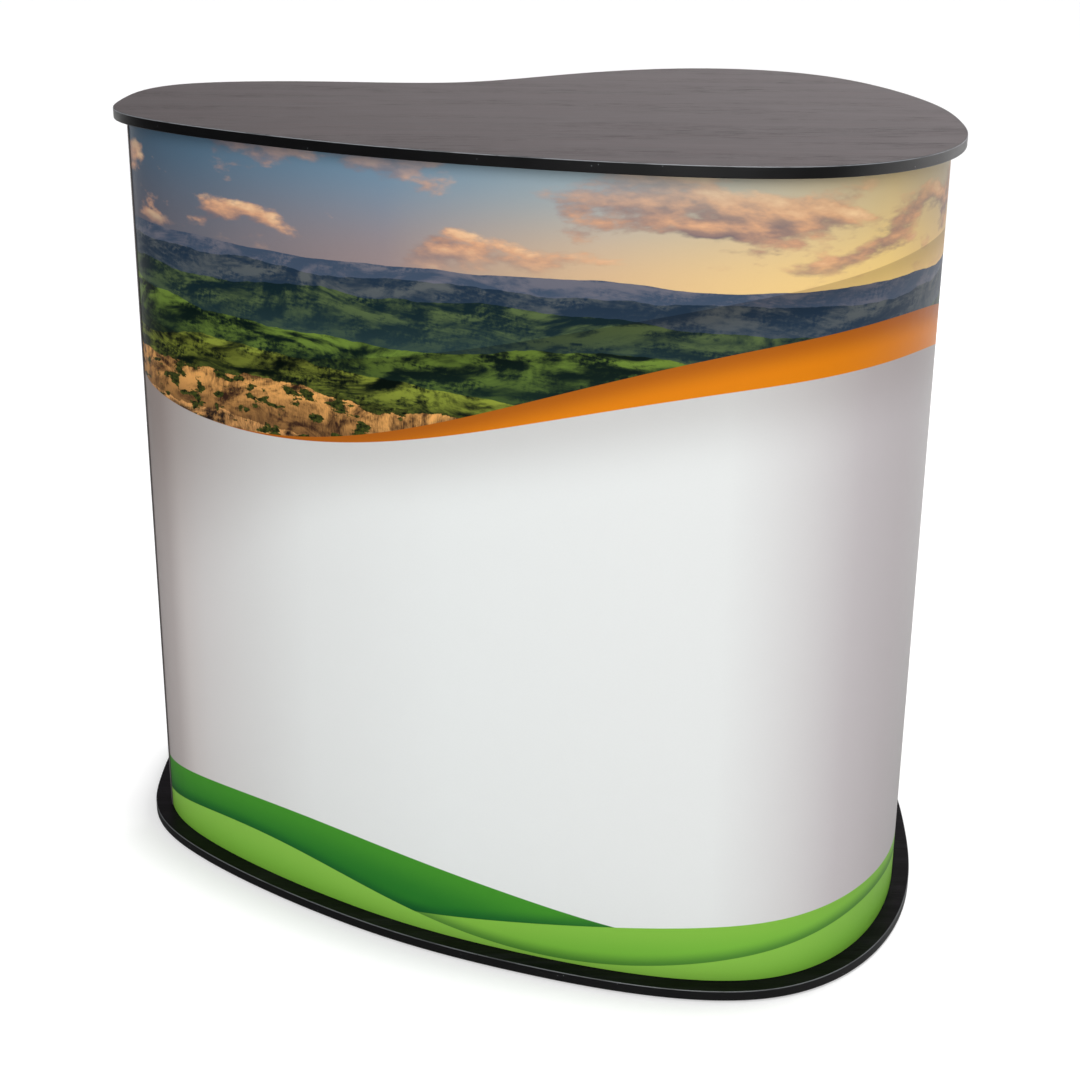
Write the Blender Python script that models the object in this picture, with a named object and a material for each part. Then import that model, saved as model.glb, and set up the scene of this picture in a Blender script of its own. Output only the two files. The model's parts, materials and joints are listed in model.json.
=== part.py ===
"""Knock-down exhibition counter: a printed panel wrapped round two kidney-shaped boards.

The base board and the top board are held apart by three tube posts. Each post stands in a
flanged socket at both ends, clamped by a star knob. The printed panel wraps round the front
and both sides, held by hook-and-loop tape to a curved rail on each board, and the back stays
open. A loose shelf rests on collars on the posts.

Units are metres and +Z is up. The origin is on the floor, at the middle of the base's box.
The front of the counter faces -Y and the open back faces +Y.
"""
from math import atan2, cos, floor, hypot, pi, sin

import bpy
import numpy as np
from mathutils import Matrix, Vector

# Overall outline of the top board
WIDTH = 1.000
DEPTH = 0.990
# Corners of the closed cubic spline that is the outline, as shares of the width and depth,
# anticlockwise from the right side: right lobe, back, waist, left lobe, front
OUTLINE_SHARES = [
    (0.51, 0.08), (0.44, 0.44), (0.25, 0.54), (0.05, 0.41), (-0.09, 0.23), (-0.28, 0.28), (-0.50, 0.24),
    (-0.50, 0.01), (-0.49, -0.13), (-0.23, -0.34), (-0.04, -0.44), (0.30, -0.55), (0.47, -0.34),
    (0.50, -0.11),
]
STEPS_PER_SPAN = 7

# Clearance between two pieces that touch, and how far a cutter passes the face that it cuts
GAP = 0.0003
OVERRUN = 0.002

# Boards and their edging
BOARD_THICKNESS = 0.012
BASE_OVERHANG = 0.005
BAND_THICKNESS = 0.001
BAND_BEVEL = 0.0005
SCREW_COVER = 0.004

# Pads under the base
PAD_RADIUS = 0.015
PAD_HEIGHT = 0.002
PAD_INSET = 0.045
PAD_COUNT = 5

# Printed panel, and the channel that caps each of its ends
PANEL_WIDTH = 1.720
PANEL_HEIGHT = 0.900
PANEL_THICKNESS = 0.0015
PANEL_INSET = 0.016
PANEL_STEPS = 56
PANEL_MIDDLE_SHARE = 0.778
CHANNEL_DEPTH = 0.010
CHANNEL_WALL = 0.001

# Hook-and-loop tapes and the rails that carry them
TAPE_THICKNESS = 0.0012
TAPE_WIDTH = 0.025
TAPE_MARGIN = 0.0025
RAIL_HEIGHT = 0.030
RAIL_FOOT = 0.016
RAIL_THICKNESS = 0.0015
RAIL_END_STEPS = 2
RAIL_SCREW_COUNT = 5
RAIL_SCREW_LENGTH = 0.009

# Posts, as shares of the width and depth, and the point that their knobs face
POST_SHARES = {"left": (-0.40, 0.09), "front": (0.22, -0.37), "right": (0.32, 0.33)}
KNOB_FACING_SHARE = (-0.05, 0.06)
POST_RADIUS = 0.016
POST_WALL = 0.0015
PLUG_HEAD = 0.002
PLUG_LENGTH = 0.012

# Sockets
FLANGE_RADIUS = 0.036
FLANGE_THICKNESS = 0.004
COLLAR_WALL = 0.005
SOCKET_HEIGHT = 0.036
SOCKET_SCREW_CIRCLE = 0.029
SOCKET_SCREW_COUNT = 3
SOCKET_SCREW_LENGTH = 0.0115

# Screws
SCREW_RADIUS = 0.00175
SCREW_HEAD_RADIUS = 0.0035
SCREW_HEAD_HEIGHT = 0.0022

# Star knobs
KNOB_HEIGHT = 0.022
KNOB_RADIUS = 0.014
KNOB_LOBE_DEPTH = 0.0035
KNOB_LOBES = 5
KNOB_THICKNESS = 0.012
KNOB_BEVEL = 0.0015
KNOB_STANDOFF = 0.002
STUD_RADIUS = 0.003

# Shelf and the collars that it rests on
SHELF_HEIGHT = 0.430
SHELF_THICKNESS = 0.010
SHELF_INSET = 0.030
SHELF_HOLE_CLEARANCE = 0.001
SHELF_COLLAR_HEIGHT = 0.014
SHELF_COLLAR_WALL = 0.006
GRUB_RADIUS = 0.0025

# Sides of the round pieces
TUBE_SIDES = 24
KNOB_SIDES = 20
SMALL_SIDES = 8

# Levels worked out from the sizes above
BASE_BOTTOM = PAD_HEIGHT + GAP
BASE_TOP = BASE_BOTTOM + BOARD_THICKNESS
PANEL_BOTTOM = BASE_TOP + GAP
PANEL_TOP = PANEL_BOTTOM + PANEL_HEIGHT
TOP_BOTTOM = PANEL_TOP + GAP
POST_CAP_BOTTOM = BASE_TOP + GAP + FLANGE_THICKNESS + GAP
POST_CAP_TOP = TOP_BOTTOM - GAP - FLANGE_THICKNESS - GAP
TUBE_BOTTOM = POST_CAP_BOTTOM + PLUG_HEAD + GAP
TUBE_TOP = POST_CAP_TOP - PLUG_HEAD - GAP
SHELF_BOTTOM = SHELF_HEIGHT + GAP

# Distances in from the outline to each layer behind the panel's outer face
HOOK_INSET = PANEL_INSET + PANEL_THICKNESS + GAP
LOOP_INSET = HOOK_INSET + TAPE_THICKNESS + GAP
RAIL_INSET = LOOP_INSET + TAPE_THICKNESS + GAP
FOOT_END_INSET = RAIL_INSET + RAIL_FOOT
RAIL_SCREW_INSET = (RAIL_INSET + RAIL_THICKNESS + FOOT_END_INSET) / 2

# Colour, roughness and metallic value of each material
MATERIALS = {
    "black_laminate": ((0.035, 0.033, 0.036), 0.38, 0.0),
    "black_edging": ((0.012, 0.012, 0.014), 0.30, 0.0),
    "printed_panel": ((0.78, 0.80, 0.79), 0.35, 0.0),
    "grey_channel": ((0.09, 0.085, 0.085), 0.45, 0.0),
    "bare_aluminium": ((0.72, 0.73, 0.75), 0.35, 1.0),
    "socket_paint": ((0.03, 0.03, 0.032), 0.45, 0.0),
    "hook_tape": ((0.02, 0.02, 0.02), 0.95, 0.0),
    "loop_tape": ((0.05, 0.05, 0.05), 0.95, 0.0),
    "zinc_steel": ((0.62, 0.62, 0.60), 0.35, 1.0),
    "knob_plastic": ((0.02, 0.02, 0.02), 0.40, 0.0),
    "pad_rubber": ((0.03, 0.03, 0.03), 0.85, 0.0),
}


def clear_scene():
    for thing in list(bpy.data.objects):
        bpy.data.objects.remove(thing, do_unlink=True)


def material(name):
    """The named material, made once."""
    found = bpy.data.materials.get(name)
    if found:
        return found
    colour, roughness, metallic = MATERIALS[name]
    made = bpy.data.materials.new(name)
    made.use_nodes = True
    shader = made.node_tree.nodes["Principled BSDF"]
    shader.inputs["Base Color"].default_value = (*colour, 1.0)
    shader.inputs["Roughness"].default_value = roughness
    shader.inputs["Metallic"].default_value = metallic
    return made


def add_object(name, points, faces, slot, smooth=False):
    """A new mesh object in the scene, with its one material."""
    mesh = bpy.data.meshes.new(name)
    mesh.from_pydata([tuple(point) for point in points], [], faces)
    mesh.update()
    if smooth:
        mesh.shade_smooth()
        mesh.set_sharp_from_angle(angle=pi / 6)
    mesh.materials.append(material(slot))
    made = bpy.data.objects.new(name, mesh)
    bpy.context.scene.collection.objects.link(made)
    return made


def combine(target, operation, points, faces):
    """Cuts a closed shape, or several that lie apart, out of an object, or joins them to it."""
    tool_name = f"{target.name}_{operation.lower()}"
    mesh = bpy.data.meshes.new(tool_name)
    mesh.from_pydata([tuple(point) for point in points], [], faces)
    tool = bpy.data.objects.new(tool_name, mesh)
    bpy.context.scene.collection.objects.link(tool)
    tool.hide_render = True
    tool.display_type = "WIRE"
    modifier = target.modifiers.new(operation.lower(), "BOOLEAN")
    modifier.operation = operation
    modifier.solver = "EXACT"
    modifier.object = tool


def cut(target, points, faces):
    combine(target, "DIFFERENCE", points, faces)


# The outline: a closed cubic spline, scaled so that its box is the width by the depth

def spline_point(turn):
    """Point and direction of the unscaled outline, turn being counted in spans."""
    count = len(OUTLINE_SHARES)
    span = floor(turn)
    t = turn - span
    corners = np.array([OUTLINE_SHARES[(span + step) % count] for step in (-1, 0, 1, 2)])
    weights = np.array([(1 - t) ** 3, 3 * t**3 - 6 * t**2 + 4, -3 * t**3 + 3 * t**2 + 3 * t + 1, t**3]) / 6
    slopes = np.array([-((1 - t) ** 2), 3 * t**2 - 4 * t, -3 * t**2 + 2 * t + 1, t**2]) / 2
    return weights @ corners, slopes @ corners


def outline_turns():
    """Where the boards' corners lie along the outline."""
    return [step / STEPS_PER_SPAN for step in range(len(OUTLINE_SHARES) * STEPS_PER_SPAN)]


def outline_fit():
    """Middle of the unscaled outline, and the scale that brings its box to size."""
    corners = np.array([spline_point(turn)[0] for turn in outline_turns()])
    low, high = corners.min(axis=0), corners.max(axis=0)
    return (low + high) / 2, np.array([WIDTH, DEPTH]) / (high - low)


OUTLINE_MIDDLE, OUTLINE_SCALE = outline_fit()


def outline_point(turn, inset=0.0):
    """Point of the outline, moved in from it by inset."""
    place, direction = spline_point(turn)
    place = (place - OUTLINE_MIDDLE) * OUTLINE_SCALE
    direction = direction * OUTLINE_SCALE
    outward = np.array([direction[1], -direction[0]]) / hypot(*direction)
    return place - outward * inset


def panel_turns():
    """Stations of the panel along the outline, evenly spaced on the panel's outer face."""
    count = len(OUTLINE_SHARES)
    middle = PANEL_MIDDLE_SHARE * count
    turns = middle + np.linspace(-count / 2, count / 2, count * PANEL_STEPS + 1)
    points = np.array([outline_point(turn, PANEL_INSET) for turn in turns])
    steps = np.hypot(*(points[1:] - points[:-1]).T)
    lengths = np.concatenate([[0.0], np.cumsum(steps)])
    start = np.interp(middle, turns, lengths) - PANEL_WIDTH / 2
    return np.interp(start + PANEL_WIDTH * np.arange(PANEL_STEPS + 1) / PANEL_STEPS, lengths, turns)


PANEL_TURNS = panel_turns()
RAIL_TURNS = PANEL_TURNS[RAIL_END_STEPS:-RAIL_END_STEPS]


# Shapes

def loop_faces(rings, corners, closed):
    """Faces between rings of corners, with end faces where the rings don't close."""
    faces = []
    for ring in range(rings if closed else rings - 1):
        after = (ring + 1) % rings
        for corner in range(corners):
            beside = (corner + 1) % corners
            faces.append((ring * corners + corner, after * corners + corner,
                          after * corners + beside, ring * corners + beside))
    if not closed:
        faces.append(tuple(range(corners)))
        faces.append(tuple(reversed(range((rings - 1) * corners, rings * corners))))
    return faces


def swept(name, turns, profile, slot, closed=False):
    """A profile of (inset, level) corners, anticlockwise seen along the outline, swept round it."""
    points = []
    for turn in turns:
        for inset, level in profile:
            x, y = outline_point(turn, inset)
            points.append((x, y, level))
    return add_object(name, points, loop_faces(len(turns), len(profile), closed), slot)


def strip_profile(inset, thickness, bottom, top):
    """Profile of an upright strip."""
    return [(inset, bottom), (inset, top), (inset + thickness, top), (inset + thickness, bottom)]


def board(name, inset, bottom, top, slot):
    """A flat board with the outline's shape."""
    corners = [outline_point(turn, inset) for turn in outline_turns()]
    count = len(corners)
    points = [(x, y, level) for level in (bottom, top) for x, y in corners]
    faces = [tuple(reversed(range(count))), tuple(range(count, 2 * count))]
    for corner in range(count):
        beside = (corner + 1) % count
        faces.append((corner, beside, count + beside, count + corner))
    return add_object(name, points, faces, slot)


def turned_shape(profile, sides, places, ring=False):
    """Points and faces of a profile of (radius, height) turned about local Z, at each place.

    The profile runs up the outer side. It starts and ends on the axis, or closes on itself
    where ring is true. A radius of zero makes one point on the axis.
    """
    points, faces = [], []
    for place in places:
        rows = []
        for radius, height in profile:
            start = len(points)
            if radius == 0:
                points.append(place @ Vector((0, 0, height)))
                rows.append([start] * sides)
                continue
            for side in range(sides):
                angle = 2 * pi * side / sides
                points.append(place @ Vector((radius * cos(angle), radius * sin(angle), height)))
            rows.append(list(range(start, start + sides)))
        if ring:
            rows.append(rows[0])
        for lower, upper in zip(rows, rows[1:]):
            for side in range(sides):
                beside = (side + 1) % sides
                face = (lower[side], lower[beside], upper[beside], upper[side])
                faces.append(tuple(dict.fromkeys(face)))
    return points, faces


def turned(name, profile, sides, place, slot, ring=False):
    """One turned solid."""
    points, faces = turned_shape(profile, sides, [place], ring)
    return add_object(name, points, faces, slot, smooth=True)


def rod_profile(radius, bottom, top):
    return [(0, bottom), (radius, bottom), (radius, top), (0, top)]


def at(x, y, z):
    return Matrix.Translation((x, y, z))


def upside_down(x, y, z):
    return at(x, y, z) @ Matrix.Rotation(pi, 4, "X")


# Places of the posts, knobs and screws

def share_place(share):
    return share[0] * WIDTH, share[1] * DEPTH


def knob_angle(post):
    """Direction in plan in which a post's knobs point."""
    x, y = share_place(POST_SHARES[post])
    facing_x, facing_y = share_place(KNOB_FACING_SHARE)
    return atan2(facing_y - y, facing_x - x)


def radial(x, y, z, angle):
    """A place whose local Z points outward along an angle in plan."""
    return at(x, y, z) @ Matrix.Rotation(angle, 4, "Z") @ Matrix.Rotation(pi / 2, 4, "Y")


def socket_screw_places(post, turnover, level):
    """Places of one socket's screws, clear of its knob."""
    x, y = share_place(POST_SHARES[post])
    places = []
    for screw in range(SOCKET_SCREW_COUNT):
        angle = knob_angle(post) + 2 * pi * (screw + 0.5) / SOCKET_SCREW_COUNT
        places.append(turnover(x + SOCKET_SCREW_CIRCLE * cos(angle),
                               y + SOCKET_SCREW_CIRCLE * sin(angle), level))
    return places


def rail_screw_places(turnover, level):
    """Places of the screws along one rail's foot."""
    shares = (np.arange(RAIL_SCREW_COUNT) + 0.5) / RAIL_SCREW_COUNT
    turns = np.interp(shares * (len(RAIL_TURNS) - 1), np.arange(len(RAIL_TURNS)), RAIL_TURNS)
    return [turnover(*outline_point(turn, RAIL_SCREW_INSET), level) for turn in turns]


# Boards, edging and pads

def make_board(name, overhang, bottom, turnover, face):
    """A laminated board with blind screw holes in the face that its fittings stand on."""
    top = bottom + BOARD_THICKNESS
    made = board(name, BAND_THICKNESS + GAP - overhang, bottom, top, "black_laminate")
    places = rail_screw_places(turnover, face)
    for post in POST_SHARES:
        places += socket_screw_places(post, turnover, face)
    hole = rod_profile(SCREW_RADIUS + GAP, SCREW_COVER - BOARD_THICKNESS, OVERRUN)
    cut(made, *turned_shape(hole, SMALL_SIDES, places))
    return made


def make_edge_band(name, overhang, bottom):
    """Edging strip round a board, with its two outer corners bevelled."""
    top = bottom + BOARD_THICKNESS
    outer, inner = -overhang, BAND_THICKNESS - overhang
    profile = [
        (outer, bottom + BAND_BEVEL), (outer, top - BAND_BEVEL), (outer + BAND_BEVEL, top),
        (inner, top), (inner, bottom), (outer + BAND_BEVEL, bottom),
    ]
    return swept(name, outline_turns(), profile, "black_edging", closed=True)


def make_pads():
    """Round pads under the base, spread evenly round its edge."""
    profile = rod_profile(PAD_RADIUS, 0, PAD_HEIGHT)
    for pad in range(PAD_COUNT):
        turn = len(OUTLINE_SHARES) * pad / PAD_COUNT
        place = at(*outline_point(turn, PAD_INSET), 0)
        turned(f"base_pad_{pad + 1}", profile, TUBE_SIDES, place, "pad_rubber")


# Panel, rails and tapes

def make_panel():
    profile = strip_profile(PANEL_INSET, PANEL_THICKNESS, PANEL_BOTTOM, PANEL_TOP)
    return swept("wrap_panel", PANEL_TURNS, profile, "printed_panel")


def make_channel(name, end_turn, near_turn, way):
    """Upright U that caps one end of the panel, way being 1 where the outline runs on past it."""
    end = outline_point(end_turn, PANEL_INSET)
    run = end - outline_point(near_turn, PANEL_INSET)
    along = run / hypot(*run)
    inward = np.array([-along[1], along[0]]) * way
    outer, inner = -GAP, PANEL_THICKNESS + GAP
    web = GAP + CHANNEL_WALL
    lip = web - CHANNEL_DEPTH
    corners = [
        (lip, outer - CHANNEL_WALL), (web, outer - CHANNEL_WALL), (web, inner + CHANNEL_WALL),
        (lip, inner + CHANNEL_WALL), (lip, inner), (GAP, inner), (GAP, outer), (lip, outer),
    ]
    plan = [end + along * forward + inward * depth for forward, depth in corners]
    if way > 0:
        plan.reverse()
    points = [(x, y, level) for level in (PANEL_BOTTOM, PANEL_TOP) for x, y in plan]
    return add_object(name, points, loop_faces(2, len(plan), closed=False), "grey_channel")


def make_tapes():
    """Loop tapes on the two rails, and hook tapes facing them on the panel."""
    made = {}
    levels = {
        "base": (BASE_TOP + TAPE_MARGIN, BASE_TOP + TAPE_MARGIN + TAPE_WIDTH),
        "top": (TOP_BOTTOM - TAPE_MARGIN - TAPE_WIDTH, TOP_BOTTOM - TAPE_MARGIN),
    }
    for end, (bottom, top) in levels.items():
        for kind, inset in (("hook", HOOK_INSET), ("loop", LOOP_INSET)):
            name = f"{end}_{kind}_tape"
            profile = strip_profile(inset, TAPE_THICKNESS, bottom, top)
            made[name] = swept(name, RAIL_TURNS, profile, f"{kind}_tape")
    return made


def make_rail(name, face, way, turnover):
    """Angle-section rail that stands on a board's face, way being the side that it rises to."""
    start = face + way * GAP
    corners = [
        (RAIL_INSET, start), (RAIL_INSET, start + way * RAIL_HEIGHT),
        (RAIL_INSET + RAIL_THICKNESS, start + way * RAIL_HEIGHT),
        (RAIL_INSET + RAIL_THICKNESS, start + way * RAIL_THICKNESS),
        (FOOT_END_INSET, start + way * RAIL_THICKNESS), (FOOT_END_INSET, start),
    ]
    if way < 0:
        corners.reverse()
    made = swept(name, RAIL_TURNS, corners, "bare_aluminium")
    hole = rod_profile(SCREW_RADIUS + GAP, -OVERRUN, GAP + RAIL_THICKNESS + OVERRUN)
    cut(made, *turned_shape(hole, SMALL_SIDES, rail_screw_places(turnover, face)))
    return made


def screw_profile(under, length):
    """Pan-head screw, under being the height of its head's underside above the board's face."""
    return [
        (0, under - length), (SCREW_RADIUS, under - length), (SCREW_RADIUS, under),
        (SCREW_HEAD_RADIUS, under), (SCREW_HEAD_RADIUS, under + SCREW_HEAD_HEIGHT / 2),
        (SCREW_HEAD_RADIUS / 2, under + SCREW_HEAD_HEIGHT), (0, under + SCREW_HEAD_HEIGHT),
    ]


def make_rail_screws(name, turnover, face):
    """Screws through a rail's foot into the board."""
    profile = screw_profile(GAP + RAIL_THICKNESS + GAP, RAIL_SCREW_LENGTH)
    return [
        turned(f"{name}_{number + 1}", profile, SMALL_SIDES, place, "zinc_steel")
        for number, place in enumerate(rail_screw_places(turnover, face))
    ]


# Posts, sockets and knobs

def make_socket(name, post, turnover, face):
    """Flanged cup for a post's end, joined to its screws, with a cross hole for the knob's stud."""
    x, y = share_place(POST_SHARES[post])
    bore = POST_RADIUS + GAP
    top = GAP + SOCKET_HEIGHT
    profile = [
        (0, GAP), (FLANGE_RADIUS, GAP), (FLANGE_RADIUS, GAP + FLANGE_THICKNESS),
        (bore + COLLAR_WALL, GAP + FLANGE_THICKNESS), (bore + COLLAR_WALL, top),
        (bore, top), (bore, GAP + FLANGE_THICKNESS), (0, GAP + FLANGE_THICKNESS),
    ]
    place = turnover(x, y, face)
    made = turned(name, profile, TUBE_SIDES, place, "socket_paint")
    # The heads sink a gap's depth into the flange, so that they join it
    screw = screw_profile(FLANGE_THICKNESS, SOCKET_SCREW_LENGTH)
    combine(made, "UNION", *turned_shape(screw, SMALL_SIDES, socket_screw_places(post, turnover, face)))
    hole = rod_profile(STUD_RADIUS + GAP, POST_RADIUS / 2, bore + COLLAR_WALL + OVERRUN)
    level = (place @ Vector((0, 0, KNOB_HEIGHT))).z
    cut(made, *turned_shape(hole, SMALL_SIDES, [radial(x, y, level, knob_angle(post))]))
    return made


def make_post(post):
    """Plain tube between the two plugs."""
    x, y = share_place(POST_SHARES[post])
    inner = POST_RADIUS - POST_WALL
    profile = [(POST_RADIUS, TUBE_BOTTOM), (POST_RADIUS, TUBE_TOP), (inner, TUBE_TOP), (inner, TUBE_BOTTOM)]
    return turned(f"{post}_post", profile, TUBE_SIDES, at(x, y, 0), "bare_aluminium", ring=True)


def make_plug(name, place):
    """Plug that closes one end of a tube: a head and a spigot."""
    spigot = POST_RADIUS - POST_WALL - GAP
    profile = [
        (0, 0), (POST_RADIUS, 0), (POST_RADIUS, PLUG_HEAD),
        (spigot, PLUG_HEAD), (spigot, PLUG_LENGTH), (0, PLUG_LENGTH),
    ]
    return turned(name, profile, TUBE_SIDES, place, "knob_plastic")


def make_knob(name, post, level):
    """Star knob moulded on a stud, one piece, with its origin and local Z on its own axis."""
    start = POST_RADIUS + GAP + COLLAR_WALL + KNOB_STANDOFF
    end = start + KNOB_THICKNESS
    rings = [
        (STUD_RADIUS, 0, POST_RADIUS + GAP), (STUD_RADIUS, 0, start),
        (KNOB_RADIUS - KNOB_BEVEL, 1, start), (KNOB_RADIUS, 1, start + KNOB_BEVEL),
        (KNOB_RADIUS, 1, end - KNOB_BEVEL), (KNOB_RADIUS - KNOB_BEVEL, 1, end),
    ]
    points = []
    for radius, star, height in rings:
        for side in range(KNOB_SIDES):
            angle = 2 * pi * side / KNOB_SIDES
            reach = radius - star * KNOB_LOBE_DEPTH * (1 - cos(KNOB_LOBES * angle)) / 2
            points.append((reach * cos(angle), reach * sin(angle), height))
    faces = [tuple(reversed(face)) for face in loop_faces(len(rings), KNOB_SIDES, closed=False)]
    knob = add_object(name, points, faces, "knob_plastic", smooth=True)
    knob.matrix_world = radial(*share_place(POST_SHARES[post]), level, knob_angle(post))
    return knob


# Shelf

def make_shelf():
    made = board("shelf_board", SHELF_INSET, SHELF_BOTTOM, SHELF_BOTTOM + SHELF_THICKNESS, "black_laminate")
    hole = rod_profile(POST_RADIUS + SHELF_HOLE_CLEARANCE, -OVERRUN, SHELF_THICKNESS + OVERRUN)
    places = [at(*share_place(share), SHELF_BOTTOM) for share in POST_SHARES.values()]
    cut(made, *turned_shape(hole, TUBE_SIDES, places))
    return made


def make_shelf_collar(post):
    """Ring clamped on a post by a grub screw, with the shelf resting on it."""
    x, y = share_place(POST_SHARES[post])
    bore = POST_RADIUS + GAP
    outer = bore + SHELF_COLLAR_WALL
    bottom = SHELF_HEIGHT - SHELF_COLLAR_HEIGHT
    profile = [(outer, bottom), (outer, SHELF_HEIGHT), (bore, SHELF_HEIGHT), (bore, bottom)]
    made = turned(f"{post}_shelf_collar", profile, TUBE_SIDES, at(x, y, 0), "bare_aluminium", ring=True)
    hole = rod_profile(GRUB_RADIUS + GAP, POST_RADIUS / 2, outer + OVERRUN)
    place = radial(x, y, (bottom + SHELF_HEIGHT) / 2, knob_angle(post))
    cut(made, *turned_shape(hole, SMALL_SIDES, [place]))
    return made


def make_grub_screw(post):
    """Grub screw of a shelf collar, flush with the collar's outside."""
    level = SHELF_HEIGHT - SHELF_COLLAR_HEIGHT / 2
    outer = POST_RADIUS + GAP + SHELF_COLLAR_WALL
    place = radial(*share_place(POST_SHARES[post]), level, knob_angle(post))
    profile = rod_profile(GRUB_RADIUS, POST_RADIUS + GAP, outer - GAP)
    return turned(f"{post}_shelf_collar_screw", profile, SMALL_SIDES, place, "zinc_steel")


def make_unit(name, pieces):
    """Parents the pieces that move together to an empty on the axis that they slide along."""
    unit = bpy.data.objects.new(name, None)
    bpy.context.scene.collection.objects.link(unit)
    for piece in pieces:
        piece.parent = unit


def make_base():
    make_board("base_board", BASE_OVERHANG, BASE_BOTTOM, at, BASE_TOP)
    make_edge_band("base_edge_band", BASE_OVERHANG, BASE_BOTTOM)
    make_pads()
    make_rail("base_rail", BASE_TOP, 1, at)
    make_rail_screws("base_rail_screw", at, BASE_TOP)
    for post, share in POST_SHARES.items():
        make_socket(f"{post}_base_socket", post, at, BASE_TOP)
        make_knob(f"{post}_base_knob", post, BASE_TOP + KNOB_HEIGHT)
        make_post(post)
        make_plug(f"{post}_post_lower_plug", at(*share_place(share), POST_CAP_BOTTOM))
        make_plug(f"{post}_post_upper_plug", upside_down(*share_place(share), POST_CAP_TOP))
        make_shelf_collar(post)
        make_grub_screw(post)


def make_top():
    """The top board and the fittings under it, which lift off the posts as one unit."""
    pieces = [
        make_board("top_board", 0.0, TOP_BOTTOM, upside_down, TOP_BOTTOM),
        make_edge_band("top_edge_band", 0.0, TOP_BOTTOM),
        make_rail("top_rail", TOP_BOTTOM, -1, upside_down),
    ]
    pieces += make_rail_screws("top_rail_screw", upside_down, TOP_BOTTOM)
    for post in POST_SHARES:
        pieces.append(make_socket(f"{post}_top_socket", post, upside_down, TOP_BOTTOM))
        pieces.append(make_knob(f"{post}_top_knob", post, TOP_BOTTOM - KNOB_HEIGHT))
    return pieces


def main():
    clear_scene()
    make_base()
    make_panel()
    make_channel("left_panel_channel", PANEL_TURNS[0], PANEL_TURNS[1], -1)
    make_channel("right_panel_channel", PANEL_TURNS[-1], PANEL_TURNS[-2], 1)
    tapes = make_tapes()
    make_unit("top_unit", make_top() + [tapes["top_loop_tape"]])
    make_unit("shelf_unit", [make_shelf()])
    bpy.context.view_layer.update()


main()
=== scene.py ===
"""Looks of the exhibition counter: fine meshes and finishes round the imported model.

The boards, the panel, the rails and the tapes follow one smooth outline, the same spline that the
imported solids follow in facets. Every other piece is modelled again at the place of its solid, with
its edges rounded. Units are metres, +Z is up and the front faces -Y.
"""

import json
from math import atan2, cos, floor, hypot, inf, pi, sin, tan

import bpy
import numpy as np
from mathutils import Matrix, Vector


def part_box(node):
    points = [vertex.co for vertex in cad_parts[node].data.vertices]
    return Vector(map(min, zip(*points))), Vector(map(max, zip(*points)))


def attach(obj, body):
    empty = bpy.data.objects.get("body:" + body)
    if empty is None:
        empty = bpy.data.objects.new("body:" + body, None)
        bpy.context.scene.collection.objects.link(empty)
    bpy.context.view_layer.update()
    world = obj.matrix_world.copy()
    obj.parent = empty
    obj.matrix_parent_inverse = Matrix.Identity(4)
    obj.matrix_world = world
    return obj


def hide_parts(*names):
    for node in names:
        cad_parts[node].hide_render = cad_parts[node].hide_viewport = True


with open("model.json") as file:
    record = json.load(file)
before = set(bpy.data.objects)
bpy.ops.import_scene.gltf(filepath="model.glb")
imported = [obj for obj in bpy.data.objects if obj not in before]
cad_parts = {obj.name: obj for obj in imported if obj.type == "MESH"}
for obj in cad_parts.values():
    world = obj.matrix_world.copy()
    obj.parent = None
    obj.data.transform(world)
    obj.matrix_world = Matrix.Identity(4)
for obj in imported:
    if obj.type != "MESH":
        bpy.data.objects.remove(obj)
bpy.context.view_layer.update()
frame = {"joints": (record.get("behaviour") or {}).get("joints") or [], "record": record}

BODY_OF = {node: body for body, nodes in frame["record"]["behaviour"]["bodies"].items() for node in nodes}
POSTS = ("left", "front", "right")
ENDS = ("base", "top")

# Corners of the closed cubic spline that is the outline, as shares of the width and depth,
# anticlockwise from the right side: right lobe, back, waist, left lobe, front
OUTLINE_SHARES = [
    (0.51, 0.08), (0.44, 0.44), (0.25, 0.54), (0.05, 0.41), (-0.09, 0.23), (-0.28, 0.28), (-0.50, 0.24),
    (-0.50, 0.01), (-0.49, -0.13), (-0.23, -0.34), (-0.04, -0.44), (0.30, -0.55), (0.47, -0.34),
    (0.50, -0.11),
]
SPANS = len(OUTLINE_SHARES)
STEPS_PER_SPAN = 24

# Layers that follow the outline. An inset is counted inward from the top board's edging
BAND_THICKNESS = 0.001
BAND_JOINT = 0.0001
BOX_MARGIN = 0.00002
JOINT_RADIUS = 0.00015
ARRIS_RADIUS = 0.0008
PANEL_INSET = 0.016
PANEL_THICKNESS = 0.0015
PANEL_WIDTH = 1.720
PANEL_MIDDLE_SHARE = 0.778
PANEL_EDGE_RADIUS = 0.0003
PANEL_STEPS = 420
LAYER_GAP = 0.0003
TAPE_THICKNESS = 0.0012
TAPE_RADIUS = 0.0004
RAIL_FOOT = 0.016
RAIL_THICKNESS = 0.0015
RAIL_RADIUS = 0.0004
RAIL_END_SHARE = 1 / 28
RAIL_STEPS = 300
SHELF_INSET = 0.030
SHELF_HOLE_CLEARANCE = 0.001
CHANNEL_DEPTH = 0.010
CHANNEL_WALL = 0.001
CHANNEL_RADIUS = 0.0004

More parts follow.
